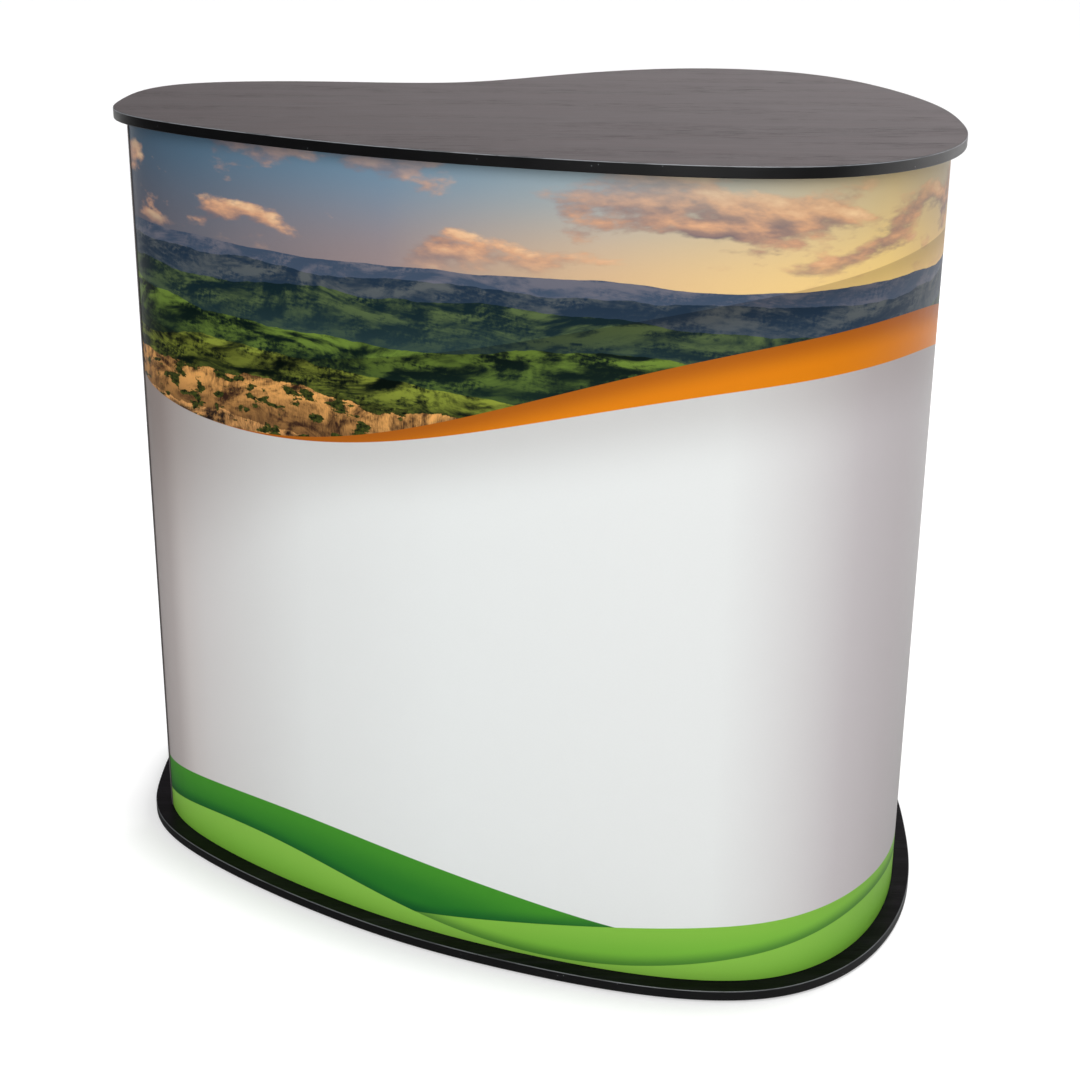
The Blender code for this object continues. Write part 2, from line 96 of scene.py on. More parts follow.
# Turned pieces
ROUND_SIDES = 96
SMALL_SIDES = 32
KEY_SIDES = 6
POST_RADIUS = 0.016
POST_WALL = 0.0015
BORE_RADIUS = POST_RADIUS + LAYER_GAP
EDGE_RADIUS = 0.0006
FLANGE_RADIUS = 0.036
FLANGE_THICKNESS = 0.004
FLANGE_EDGE = 0.0012
COLLAR_WALL = 0.005
COLLAR_FILLET = 0.0022
SCREW_CIRCLE = 0.029
SOCKET_SCREWS = 3
RAIL_SCREWS = 5
PADS = 5
PLUG_HEAD = 0.002
SCREW_RADIUS = 0.00175
SCREW_HEAD_RADIUS = 0.0035
SCREW_HEAD_HEIGHT = 0.0022
SCREW_HEAD_SHARE = 0.62
SCREW_LENGTH = 0.009
RECESS_LENGTH = 0.0036
RECESS_WIDTH = 0.0009
RECESS_DEPTH = 0.0014
RECESS_FOOT_SHARE = 0.55
GRUB_SOCKET_RADIUS = 0.0014
GRUB_SOCKET_DEPTH = 0.0025
KNOB_RADIUS = 0.014
KNOB_LOBE_DEPTH = 0.0035
KNOB_LOBES = 5
KNOB_SIDES = 120
KNOB_THICKNESS = 0.012
KNOB_STANDOFF = 0.002
STUD_RADIUS = 0.003
OVERRUN = 0.002
COARSE_STEPS = 3
CORNER_STEPS = 4
FINE_STEPS = 5
ON_AXIS = 1e-7
SMOOTH_ANGLE = pi / 5
UPSIDE_DOWN = Matrix.Rotation(pi, 4, "X")

# Camera, fitted to the outlines of both boards in the photograph
CAMERA_PLACE = (0.0049, -2.2581, 1.1787)
CAMERA_TURN = -0.0049
CAMERA_PITCH = 0.3439
CAMERA_ROLL = 0.0093
FOCAL_LENGTH_SHARE = 1832.5 / 1080
SENSOR_WIDTH = 36

# Lamps, whose level is one where a white surface at the aim renders white
AMBIENT_LEVEL = 0.52
LAMP_AIM = (0.0, 0.0, 0.5)
KEY_PLACE = (-0.35, -3.1, 2.4)
KEY_SIZE = 1.8
KEY_LEVEL = 0.42
FILL_PLACE = (1.9, 2.9, 2.3)
FILL_SIZE = 2.4
FILL_LEVEL = 0.36
HIGH_DIRECTION = (0.042, 0.036, 0.93)
HIGH_LEVEL = 0.42
HIGH_SPREAD = pi / 36

# The studio as gloss shows it. A pair holds where a change begins and where it ends
BRIGHT_SIDE = (0.55, 0.83, 0.0)
BACKDROP_LEVEL = 1.35
BACKDROP_SIDES = (0.25, 1.05)
BACKDROP_HEIGHTS = (0.48, 0.10)
ROOM_LEVEL = 0.06
PLAIN_WHITE = (1.0, 1.0, 1.0, 1.0)
WARM_BACKDROP = (1.0, 0.93, 0.945, 1.0)
FLOOR_REACH = 30.0
FLOOR_GLOW = 0.36
FLOOR_COLOUR = (0.70, 0.70, 0.70, 1.0)
FLOOR_DARKENS = (2.0, -1.0)


# The outline

def spline_point(turn):
    """Point and direction of the unscaled outline, turn being counted in spans."""
    span = floor(turn)
    t = turn - span
    corners = np.array([OUTLINE_SHARES[(span + step) % SPANS] for step in (-1, 0, 1, 2)])
    weights = np.array([(1 - t) ** 3, 3 * t**3 - 6 * t**2 + 4, -3 * t**3 + 3 * t**2 + 3 * t + 1, t**3]) / 6
    slopes = np.array([-((1 - t) ** 2), 3 * t**2 - 4 * t, -3 * t**2 + 2 * t + 1, t**2]) / 2
    return weights @ corners, slopes @ corners


def outline_turns():
    return [step / STEPS_PER_SPAN for step in range(SPANS * STEPS_PER_SPAN)]


def outline_fit():
    """Middle of the unscaled outline, and the scale that brings its box to the top band's."""
    low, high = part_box("top_edge_band")
    points = np.array([spline_point(turn)[0] for turn in outline_turns()])
    least, most = points.min(axis=0), points.max(axis=0)
    size = np.array([high.x - low.x, high.y - low.y])
    return (least + most) / 2, size / (most - least)


OUTLINE_MIDDLE, OUTLINE_SCALE = outline_fit()


def outline_point(turn, inset=0.0):
    """Point of the outline, moved in from it by inset."""
    place, direction = spline_point(turn)
    place = (place - OUTLINE_MIDDLE) * OUTLINE_SCALE
    direction = direction * OUTLINE_SCALE
    outward = np.array([direction[1], -direction[0]]) / hypot(*direction)
    return place - outward * inset


def runs_along(points):
    """How far along a row of points each of them lies."""
    return np.concatenate([[0.0], np.cumsum(np.hypot(*(points[1:] - points[:-1]).T))])


def panel_turns(start_share, end_share, steps):
    """Stations from one share of the panel's width to another, evenly spaced on its outer face."""
    middle = PANEL_MIDDLE_SHARE * SPANS
    turns = middle + np.linspace(-SPANS / 2, SPANS / 2, SPANS * STEPS_PER_SPAN * 2 + 1)
    runs = runs_along(np.array([outline_point(turn, PANEL_INSET) for turn in turns]))
    start = np.interp(middle, turns, runs) - PANEL_WIDTH / 2
    return np.interp(start + PANEL_WIDTH * np.linspace(start_share, end_share, steps + 1), runs, turns)


# Shapes

def rounded(corners, steps=CORNER_STEPS, closed=True):
    """Points of an outline of (across, up, radius) corners, with each corner rounded to its radius."""
    points = []
    for index, (across, up, radius) in enumerate(corners):
        here = Vector((across, up))
        if radius == 0 or not closed and index in (0, len(corners) - 1):
            points.append(here)
            continue
        before = (Vector(corners[index - 1][:2]) - here).normalized()
        after = (Vector(corners[(index + 1) % len(corners)][:2]) - here).normalized()
        half = before.angle(after) / 2
        centre = here + (before + after).normalized() * (radius / sin(half))
        start = here + before * (radius / tan(half)) - centre
        end = here + after * (radius / tan(half)) - centre
        for step in range(steps + 1):
            share = step / steps
            points.append(centre + (start * (1 - share) + end * share).normalized() * radius)
    return points


def wall(node, outer, inner, outer_radius, inner_radius, steps):
    """Profile of an upright wall as high as a node, from the foot of its outer face."""
    low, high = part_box(node)
    return rounded([(outer, low.z, outer_radius), (outer, high.z, outer_radius),
                    (inner, high.z, inner_radius), (inner, low.z, inner_radius)], steps)


def board_edge(node, inset, radius, margin, steps):
    """Profile of a board's edge from the lower face to the upper one, with both arrises rounded."""
    low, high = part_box(node)
    return rounded([(inset + margin, low.z, 0), (inset, low.z, radius), (inset, high.z, radius),
                    (inset + margin, high.z, 0)], steps, closed=False)


def rod(radius, bottom, top):
    return [Vector((0, bottom)), Vector((radius, bottom)), Vector((radius, top)), Vector((0, top))]


def show(name, data):
    """An object in the scene that holds a mesh, a lamp or the camera."""
    made = bpy.data.objects.new(name, data)
    bpy.context.scene.collection.objects.link(made)
    return made


def build(name, points, faces, finishes, picks=None, places=None):
    """A smooth-shaded piece. Picks holds a finish's number for each face, and places the sheet
    coordinates of each face's corners."""
    mesh = bpy.data.meshes.new(name)
    mesh.from_pydata([tuple(point) for point in points], [], faces)
    for finish in finishes:
        mesh.materials.append(finish)
    if picks:
        mesh.polygons.foreach_set("material_index", picks)
    layer = mesh.uv_layers.new(name="Sheet")
    if places:
        flat = [value for face in places for place in face for value in place]
        layer.data.foreach_set("uv", flat)
    mesh.update()
    mesh.shade_smooth()
    mesh.set_sharp_from_angle(angle=SMOOTH_ANGLE)
    return show(name, mesh)


def weigh_normals(piece):
    """Keeps flat faces flat beside their rounded edges."""
    modifier = piece.modifiers.new("normals", "WEIGHTED_NORMAL")
    modifier.keep_sharp = True
    return piece


def swept(name, turns, profile, finishes, closed=False, capped=False, skin=inf):
    """A profile of (inset, level) points swept along the outline, with its corners in sheet
    coordinates: the run along the outline, and the run round the profile from its first point.

    A profile closes on itself, except on a capped piece, where it starts on the lower flat face
    and ends on the upper one. Faces at a smaller inset than the skin take the first finish, and
    the others take the second.
    """
    rings = [[(*outline_point(turn, inset), level) for inset, level in profile] for turn in turns]
    runs = runs_along(np.array([ring[0][:2] for ring in rings + rings[:1]]))
    size = len(profile)
    heights = [0.0]
    for corner in range(size):
        heights.append(heights[-1] + (profile[(corner + 1) % size] - profile[corner]).length)
    points = [point for ring in rings for point in ring]
    faces, picks, places = [], [], []
    for ring in range(len(rings) if closed else len(rings) - 1):
        after = (ring + 1) % len(rings)
        for corner in range(size - 1 if capped else size):
            beside = (corner + 1) % size
            faces.append((ring * size + corner, after * size + corner,
                          after * size + beside, ring * size + beside))
            middle = (profile[corner] + profile[beside]) / 2
            picks.append(0 if middle.x < skin else 1)
            places.append([(runs[ring], heights[corner]), (runs[ring + 1], heights[corner]),
                           (runs[ring + 1], heights[corner + 1]), (runs[ring], heights[corner + 1])])
    if capped:
        caps = [[ring * size for ring in reversed(range(len(rings)))],
                [ring * size + size - 1 for ring in range(len(rings))]]
    elif not closed:
        caps = [list(range(size)), [(len(rings) - 1) * size + corner for corner in reversed(range(size))]]
    else:
        caps = []
    for cap in caps:
        faces.append(tuple(cap))
        picks.append(0 if profile[0].x < skin else 1)
        places.append([points[corner][:2] for corner in cap])
    return weigh_normals(build(name, points, faces, finishes, picks, places))


def faces_between(rows):
    """Faces between neighbouring rings of corners. A ring's corners may all be one point."""
    faces = []
    for lower, upper in zip(rows, rows[1:]):
        for side in range(len(lower)):
            beside = (side + 1) % len(lower)
            faces.append(tuple(dict.fromkeys((lower[side], lower[beside], upper[beside], upper[side]))))
    return faces


def turned(name, profile, place, finishes, sides=ROUND_SIDES, ring=False):
    """A profile of (radius, height) points turned about local Z. It runs up the outer side, and it
    starts and ends on the axis, or closes on itself where ring is true."""
    points, rows = [], []
    for radius, height in profile:
        add_ring(points, rows, place, height, [radius] * sides)
    if ring:
        rows.append(rows[0])
    return weigh_normals(build(name, points, faces_between(rows), finishes))


def add_ring(points, rows, place, height, radii):
    """A ring of corners about local Z with a radius for each, or one corner on the axis."""
    first = len(points)
    if radii[0] < ON_AXIS:
        points.append(place @ Vector((0, 0, height)))
        rows.append([first] * len(radii))
        return
    for side, radius in enumerate(radii):
        angle = 2 * pi * side / len(radii)
        points.append(place @ Vector((radius * cos(angle), radius * sin(angle), height)))
    rows.append(list(range(first, first + len(radii))))


def cut(piece, cutters):
    """Cuts closed shapes out of a piece, and removes the cutters."""
    for cutter in cutters:
        modifier = piece.modifiers.new("cut", "BOOLEAN")
        modifier.object = cutter
        modifier.solver = "EXACT"
        piece.modifiers.move(len(piece.modifiers) - 1, 0)
    graph = bpy.context.evaluated_depsgraph_get()
    mesh = bpy.data.meshes.new_from_object(piece.evaluated_get(graph))
    piece.modifiers.clear()
    piece.data = mesh
    for cutter in cutters:
        bpy.data.objects.remove(cutter, do_unlink=True)
    return weigh_normals(piece)


def drills(hole, places, finish, sides=SMALL_SIDES):
    """Cutters for the same hole at each of the places, with a finish for its wall."""
    return [turned("drill", hole, place, [finish], sides) for place in places]


def go_with(piece, node):
    """The piece is a small part of its own that moves with a node's body."""
    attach(piece, BODY_OF[node])


def stand_for(piece, node):
    """The piece is shown in place of a node and moves with its body."""
    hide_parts(node)
    go_with(piece, node)


# Shader nodes

def srgb(red, green, blue):
    """The linear colour that a shader takes for a colour in screen values."""
    def linear(value):
        share = value / 255
        return share / 12.92 if share <= 0.04045 else ((share + 0.055) / 1.055) ** 2.4
    return (linear(red), linear(green), linear(blue), 1.0)


class Result:
    """What a node gives. Results add, subtract, multiply and divide as numbers do."""

    def __init__(self, nodes, socket):
        self.nodes = nodes
        self.socket = socket

    def __add__(self, other):
        return self.nodes.number("ADD", self, other)

    def __sub__(self, other):
        return self.nodes.number("SUBTRACT", self, other)

    def __rsub__(self, other):
        return self.nodes.number("SUBTRACT", other, self)

    def __mul__(self, other):
        return self.nodes.number("MULTIPLY", self, other)

    def __truediv__(self, other):
        return self.nodes.number("DIVIDE", self, other)


class Nodes:
    """Adds nodes to a shader tree. Each method returns the result of what it adds."""

    def __init__(self, tree):
        self.tree = tree

    def node(self, kind, inputs=None, output=0, **settings):
        made = self.tree.nodes.new("ShaderNode" + kind)
        for key, value in settings.items():
            setattr(made, key, value)
        for key, value in (inputs or {}).items():
            if isinstance(value, Result):
                self.tree.links.new(value.socket, made.inputs[key])
            else:
                made.inputs[key].default_value = value
        return Result(self, made.outputs[output])

    def number(self, operation, *values, clamped=False):
        return self.node("Math", dict(enumerate(values)), operation=operation, use_clamp=clamped)

    def clamped_sum(self, first, second):
        return self.number("ADD", first, second, clamped=True)

    def rise(self, value, low, high, least=0.0, most=1.0):
        """Least up to low, most from high on, and smooth between. Low may be the larger."""
        inputs = {"Value": value, "From Min": low, "From Max": high, "To Min": least, "To Max": most}
        return self.node("MapRange", inputs, interpolation_type="SMOOTHSTEP")

    def mix(self, factor, first, second, blend="MIX"):
        """Two colours mixed, each a result or a colour in screen values."""
        first, second = (srgb(*side) if isinstance(side, tuple) else side for side in (first, second))
        return self.node("Mix", {0: factor, 6: first, 7: second}, 2, data_type="RGBA", blend_type=blend)

    def ramp(self, value, stops):
        """A colour ramp of (position, colour) stops, its colours in screen values."""
        result = self.node("ValToRGB", {0: value})
        elements = result.socket.node.color_ramp.elements
        while len(elements) < len(stops):
            elements.new(1.0)
        for element, (position, colour) in zip(elements, stops):
            element.position = position
            element.color = srgb(*colour)
        return result

    def ray(self, kind):
        """1 for rays of a kind, 0 for the rest."""
        return self.node("LightPath", output=f"Is {kind} Ray")

    def component(self, vector, axis):
        return self.node("SeparateXYZ", {0: vector}, axis)

    def vector(self, operation, first, second, output=0):
        return self.node("VectorMath", {0: first, 1: second}, output, operation=operation)

    def toward_bright_side(self, place):
        """How far a place or a direction lies towards the bright side of the studio."""
        return self.vector("DOT_PRODUCT", place, BRIGHT_SIDE, "Value")

    def body_place(self):
        """Place on the piece, in the counter's frame at rest."""
        return self.node("TexCoord", output="Object")

    def sheet_place(self):
        """Run along the sheet, run up it, and both as one place."""
        sheet = self.node("UVMap", uv_map="Sheet")
        along, up = self.component(sheet, "X"), self.component(sheet, "Y")
        return along, up, self.joined(along, up)

    def joined(self, x, y):
        return self.node("CombineXYZ", {0: x, 1: y})

    def noise(self, place, scale, detail, roughness=0.5, distortion=0.0):
        """Noise of one scale, or of a scale for each axis."""
        if isinstance(scale, tuple):
            place, scale = self.vector("MULTIPLY", place, scale), 1.0
        inputs = {"Vector": place, "Scale": scale, "Detail": detail, "Roughness": roughness,
                  "Distortion": distortion}
        return self.node("TexNoise", inputs)

    def relief(self, height_at, place, step, gain):
        """Light and shade on a surface of the given height, 0.5 where it is level."""
        beside = self.vector("ADD", place, step)
        return self.clamped_sum((height_at(place) - height_at(beside)) * gain, 0.5)

    def specks(self, place, scale, kept):
        """Scattered dots, of which about the kept share of the cells hold one."""
        cells = {"Vector": place, "Scale": scale}
        dots = self.rise(self.node("TexVoronoi", cells, "Distance"), 0.16, 0.08)
        chance = self.node("SeparateColor", {0: self.node("TexVoronoi", cells, "Color")})
        return dots * self.rise(chance, kept, kept * 0.8)


class Finish(Nodes):
    """One material, with constants for its shader's sockets."""

    def __init__(self, name, constants):
        self.material = bpy.data.materials.new(name)
        self.material.use_nodes = True
        super().__init__(self.material.node_tree)
        self.shader = self.tree.nodes["Principled BSDF"]
        for key, value in constants.items():
            self.shader.inputs[key].default_value = value

    def drive(self, key, result):
        self.tree.links.new(result.socket, self.shader.inputs[key])

    def colour(self, result):
        self.drive("Base Color", result)

    def roughness(self, value, low, high):
        """Roughness from low to high as value goes from 0 to 1."""
        self.drive("Roughness", self.node("MapRange", {"Value": value, "To Min": low, "To Max": high}))

    def bump(self, height, distance, under=None):
        """Raises the surface by height times distance, on top of another bump where one is given."""
        inputs = {"Height": height, "Distance": distance}
        if under:
            inputs["Normal"] = under
        result = self.node("Bump", inputs)
        self.drive("Normal", result)
        return result


# Boards' finishes

WARM_GLOSS = (1.0, 0.91, 0.92, 1.0)

# Where the edging's butt joint is along its run, and its arris, with its painted highlight, up its run
SEAM_RUN = 2.185
SEAM_WIDTHS = (0.0007, 0.0002)
ARRIS_FOOT = 0.0112
ARRIS_CREST = 0.0119
ARRIS_HEAD = 0.0130


def laminate_finish(name, gloss, dark_tone, middle_tone, light_tone):
    """Black woodgrain laminate with its grain along X: broad streaks, dark dashes and fine pores."""
    made = Finish(name, {"Specular IOR Level": gloss, "Specular Tint": WARM_GLOSS})
    place = made.body_place()
    broad = made.noise(place, (3.2, 56, 56), 6.0, 0.66, 0.4)
    streaks = made.noise(place, (13, 230, 230), 5.0, 0.66)
    dashes = made.noise(place, (26, 170, 170), 3.0, 0.6)
    pores = made.noise(place, (34, 900, 900), 2.0, 0.6)
    open_grain = made.rise(made.noise(place, (3, 18, 18), 3.0), 0.42, 0.62)
    deep = made.rise(pores, 0.56, 0.70) * open_grain
    dark = made.rise(dashes, 0.56, 0.66) * open_grain
    grain = streaks * 0.5 + broad * 0.5
    base = made.ramp(grain, [(0.36, dark_tone), (0.50, middle_tone), (0.64, light_tone)])
    base = made.mix(dark * 0.6, base, (7, 4, 6))
    base = made.mix(deep * 0.85, base, (5, 4, 5))
    dust = made.specks(place, 90.0, 0.012)
    made.colour(made.mix(dust * 0.35, base, (120, 122, 126)))
    made.roughness(streaks * 0.42 + dark * 0.22 + deep * 0.16 + 0.05, 0.28, 0.60)
    fine = made.bump(streaks, 0.00010)
    made.bump(deep * -1.0 + dark * -0.5, 0.00008, fine)
    return made.material


def edging_finish(name, highlight_share):
    """Black edging strip: faint lines along it, a painted highlight on the arris, a butt joint and specks.
    """
    made = Finish(name, {"Specular IOR Level": 0.80})
    along, up, place = made.sheet_place()
    lines = made.noise(place, (6, 1500, 1), 3.0)
    patches = made.noise(place, (20, 60, 1), 3.0)
    arris = made.rise(up, ARRIS_FOOT, ARRIS_CREST) * made.rise(up, ARRIS_HEAD, ARRIS_CREST)
    # Painted highlight: the arris is lightened towards (140, 143, 148), unevenly in patches, less on the
    # base's edging, which lies in shade
    arris_highlight = arris * made.clamped_sum(made.rise(patches, 0.30, 0.62), 0.45)
    base = made.mix(made.rise(lines, 0.35, 0.7), (2, 2, 4), (7, 7, 10))
    base = made.mix(arris_highlight * highlight_share, base, (140, 143, 148))
    joint = made.rise(made.number("ABSOLUTE", along - SEAM_RUN), *SEAM_WIDTHS)
    base = made.mix(joint, base, (4, 4, 4))
    chips = made.specks(place, 300.0, 0.06) * made.rise(patches, 0.46, 0.60)
    made.colour(made.mix(chips, base, (176, 180, 184)))
    made.roughness(patches, 0.34, 0.50)
    made.bump(lines, 0.00003)
    return made.material


# The panel's print, laid out along the panel from its left end and up from its foot. A wave is its
# level, height, length and the run of a crest
HORIZON = 0.792
PICTURE_TOP = 0.90
PICTURE_EDGE = (0.660, 0.088, 1.62, 1.02)
VEIL_EDGE = (0.740, 0.075, 1.90, 1.15)
VEIL_DEPTH = 0.040
STRIPE_THICKNESS = 0.046
SHADE_DEPTH = 0.105
INK_EDGE = 0.0006


def wave(made, along, level, height, length, crest):
    return made.number("COSINE", (along - crest) * (2 * pi / length)) * height + level


def below(made, up, level):
    """1 under a level, 0 above it."""
    return made.clamped_sum((level - up) / INK_EDGE, 0.5)


def print_finish():
    """Satin print: a generic dusk sky over hills, an orange stripe, a pale field and green waves."""
    made = Finish("panel_print", {"Specular IOR Level": 0.14})
    along, up, place = made.sheet_place()
    picture = hills(made, along, up, place, clouds(made, up, place, sky(made, along, up)))
    veil_edge = wave(made, along, *VEIL_EDGE)
    veil = below(made, up, veil_edge) * made.rise(veil_edge - up, VEIL_DEPTH, 0.0)
    picture = made.mix(veil * 0.45, picture, (150, 140, 130), "MULTIPLY")

    edge = wave(made, along, *PICTURE_EDGE)
    thickness = made.rise(along, 0.16, 1.05) * made.rise(along, 1.85, 1.20) * STRIPE_THICKNESS
    stripe_edge = edge - thickness
    stripe = made.mix(made.rise(edge - up, 0.0, 0.030), (170, 90, 10), (220, 126, 2))

    art = made.mix(below(made, up, edge), picture, stripe)
    art = made.mix(below(made, up, stripe_edge), art, pale_field(made, along, up, stripe_edge))
    art = green_waves(made, along, up, art)
    mottle = made.noise(place, 420.0, 3.0)
    made.colour(made.mix(mottle * 0.06, art, (190, 190, 190), "MULTIPLY"))
    made.roughness(made.noise(place, 60.0, 4.0), 0.40, 0.50)
    made.bump(made.noise(place, 900.0, 2.0), 0.00002)
    return made.material


# Tones of the sky at its top and at the horizon, at shares of the panel's width
HIGH_SKY_STOPS = [
    (0.00, (62, 84, 104)), (0.10, (78, 106, 128)), (0.26, (108, 138, 160)),
    (0.40, (150, 166, 172)), (0.58, (206, 184, 138)), (0.80, (132, 142, 152)),
    (1.00, (76, 94, 116)),
]
LOW_SKY_STOPS = [
    (0.00, (84, 84, 96)), (0.10, (104, 104, 114)), (0.26, (148, 132, 132)),
    (0.40, (212, 178, 138)), (0.58, (248, 212, 132)), (0.80, (206, 160, 126)),
    (1.00, (126, 112, 120)),
]


def sky(made, along, up):
    """Dusk sky, warm and light in the middle of the panel and blue-grey at both ends."""
    share = along / PANEL_WIDTH
    climb = made.rise(up, HORIZON - 0.01, PICTURE_TOP)
    return made.mix(climb, made.ramp(share, LOW_SKY_STOPS), made.ramp(share, HIGH_SKY_STOPS))


CLOUD_STOPS = [
    (0.14, (84, 82, 100)), (0.42, (150, 120, 112)), (0.64, (216, 162, 124)),
    (0.92, (252, 214, 164)),
]


def clouds(made, up, place, behind):
    """Heaped peach clouds with violet undersides, lit from the right."""
    drawn = made.vector("MULTIPLY", place, (4.6, 12.5, 1))

    def heap(at):
        inputs = {"Vector": at, "Scale": 3.4, "Detail": 3.0, "Roughness": 0.55}
        domes = made.node("TexVoronoi", inputs, "Distance", normalize=True)
        return made.noise(at, 1.0, 9.0, 0.55, 0.15) - domes * 0.22

    lit = made.relief(heap, drawn, (0.10, 0.10, 0.0), 2.6)
    window = made.rise(up, HORIZON - 0.02, HORIZON + 0.03) * made.rise(up, 0.94, 0.84)
    cover = made.rise(heap(drawn), 0.43, 0.50) * window
    return made.mix(cover * 0.92, behind, made.ramp(lit, CLOUD_STOPS))


# Ridges of the hills, far to near: foot level, height, waves per metre, then their haze, shade and
# light colours
FAR_RIDGES = [
    (0.788, 0.014, 3.4, (96, 106, 126), (60, 76, 98), (104, 104, 116)),
    (0.772, 0.024, 4.6, (74, 92, 110), (28, 48, 68), (86, 92, 94)),
    (0.748, 0.038, 3.1, (50, 76, 80), (12, 36, 42), (84, 102, 60)),
    (0.712, 0.052, 2.6, (30, 56, 46), (6, 26, 22), (104, 130, 48)),
    (0.668, 0.060, 2.2, (22, 42, 24), (5, 18, 12), (134, 146, 50)),
]
NEAR_RIDGES = [
    (0.628, 0.048, 2.4, (72, 46, 30), (48, 28, 18), (232, 168, 92)),
    (0.582, 0.040, 3.3, (40, 32, 28), (34, 24, 20), (226, 164, 96)),
]
NEAR_SEED = 9


def hills(made, along, up, place, behind):
    """Wooded hills with meadows, and dry grass with bushes in front of them, with haze between."""
    def slopes(at):
        return made.noise(at, 1.0, 8.0, 0.58, 0.8)

    def crowns(at):
        return made.noise(at, 1.0, 4.0, 0.65)

    def drawn(*scales):
        return made.vector("MULTIPLY", place, scales)

    lit = made.relief(slopes, drawn(9, 26, 1), (-0.10, 0.16, 0.0), 3.6)
    trees = made.relief(crowns, drawn(150, 230, 1), (-0.35, 0.45, 0.0), 2.6)
    woods = made.rise(made.noise(place, (15, 44, 1), 7.0, 0.66), 0.40, 0.60)
    cover = (1.0 - woods) * 0.75 + woods * trees * 0.55
    hillside = made.rise(lit * cover, 0.04, 0.60)
    for number, ridge in enumerate(FAR_RIDGES):
        behind = lay_ridge(made, along, up, behind, ridge, number, 0.5, hillside)

    blades = made.noise(place, (620, 130, 1), 3.0, 0.6)
    sunlit = made.relief(slopes, drawn(14, 24, 1), (-0.09, 0.12, 0.0), 3.0)
    grass = made.rise(sunlit * 0.85 + blades * 0.50, 0.34, 0.94)
    for number, ridge in enumerate(NEAR_RIDGES):
        behind = lay_ridge(made, along, up, behind, ridge, number + NEAR_SEED, 0.62, grass)
    clumps = made.rise(made.noise(place, (30, 58, 1), 6.0, 0.58), 0.545, 0.575)
    bushes = made.mix(trees, (4, 12, 6), (74, 82, 28))
    return made.mix(clumps * made.rise(up, 0.650, 0.636), behind, bushes)


def lay_ridge(made, along, up, behind, ridge, seed, jag, lit):
    """One ridge in front of what is drawn so far, lightest at its crest and hazy towards its foot."""
    foot, height, waves, haze, shade, light = ridge
    drift = made.joined(along * waves, 3.7 * seed + 1.3)
    level = made.noise(drift, 1.0, 8.0, jag) * (2 * height) + (foot - height)
    depth = level - up
    crest = made.rise(depth, 0.060, 0.0) * 0.55 + 0.45
    tone = made.mix(lit * crest, shade, light)
    tone = made.mix(made.rise(depth, 0.0, 0.075) * 0.5, tone, haze)
    return made.mix(below(made, up, level), behind, tone)


# Tones of the pale field from end to end, at shares of the panel's width. The grey towards both ends,
# darkest from 0.53 to 0.70 where the panel turns away from the front view, is painted shade
FIELD_AND_SHADE_STOPS = [
    (0.000, (174, 166, 164)), (0.040, (182, 174, 172)), (0.060, (204, 198, 196)),
    (0.085, (210, 207, 206)), (0.135, (216, 216, 215)), (0.190, (225, 227, 226)),
    (0.300, (228, 231, 230)), (0.480, (227, 229, 228)), (0.530, (214, 212, 212)),
    (0.570, (201, 195, 197)), (0.620, (195, 188, 190)), (0.700, (188, 184, 184)),
    (0.740, (206, 204, 204)), (1.000, (206, 203, 203)),
]


def pale_field(made, along, up, stripe_edge):
    """Pale field, greyed towards both ends by painted shade, with a printed shade under the stripe
    that painted shade makes deeper and darker towards the panel's left end."""
    field = made.ramp(along / PANEL_WIDTH, FIELD_AND_SHADE_STOPS)
    # The shade under the stripe reaches further and is darker towards the left end: painted shade where the
    # panel turns away
    reach = made.rise(along, 0.42, 0.0) * 0.25 + SHADE_DEPTH
    shade = made.number("POWER", made.rise(stripe_edge - up, reach, 0.0), 1.6)
    weight = made.rise(along, 0.30, 0.0) * 0.35 + 0.32
    return made.mix(shade * weight, field, (122, 108, 102))


# Green waves from back to front: level, height, length and crest of the upper edge, upper and lower
# colours, and the depth over which one turns into the other
GREEN_WAVES = [
    (0.070, 0.030, 1.30, 0.30, (66, 146, 40), (38, 122, 38), 0.050),
    (0.040, 0.036, 1.50, 0.98, (132, 190, 68), (118, 184, 60), 0.040),
    (0.028, 0.024, 0.84, 0.22, (138, 194, 74), (128, 190, 66), 0.045),
]


def green_waves(made, along, up, behind):
    """Overlapping waves along the panel's foot, each with a soft shadow on the green behind it."""
    covered = 0.0
    for *shape, upper, lower, depth in GREEN_WAVES:
        edge = wave(made, along, *shape)
        shadow = made.rise(up - edge, 0.017, -0.002) * covered
        behind = made.mix(shadow * 0.62, behind, (4, 78, 40))
        tone = made.mix(made.rise(edge - up, 0.0, depth), upper, lower)
        inside = below(made, up, edge)
        behind = made.mix(inside, behind, tone)
        covered = made.number("MAXIMUM", covered, inside)
    return behind


# Other finishes

def sheet_core_finish():
    """Unprinted side and cut edges of the panel: matt white plastic with a faint rolled texture."""
    made = Finish("panel_core", {"Specular IOR Level": 0.4})
    place = made.sheet_place()[2]
    cloudy = made.noise(place, (6, 3, 1), 3.0)
    made.colour(made.mix(cloudy, (214, 214, 211), (226, 227, 225)))
    made.roughness(cloudy, 0.48, 0.60)
    made.bump(made.noise(place, 700.0, 2.0), 0.00003)
    return made.material


def drawn_metal_finish(name, dull, bright, scale):
    """Anodised or rolled metal, with its fine lines drawn out along the axis of the smallest scale."""
    made = Finish(name, {"Metallic": 1.0})
    place = made.body_place()
    lines = made.noise(place, scale, 5.0, 0.6)
    smears = made.noise(place, 14.0, 3.0)
    made.colour(made.mix(lines, dull, bright))
    made.roughness(lines * 0.6 + smears * 0.4, 0.24, 0.50)
    made.bump(lines, 0.00002)
    return made.material


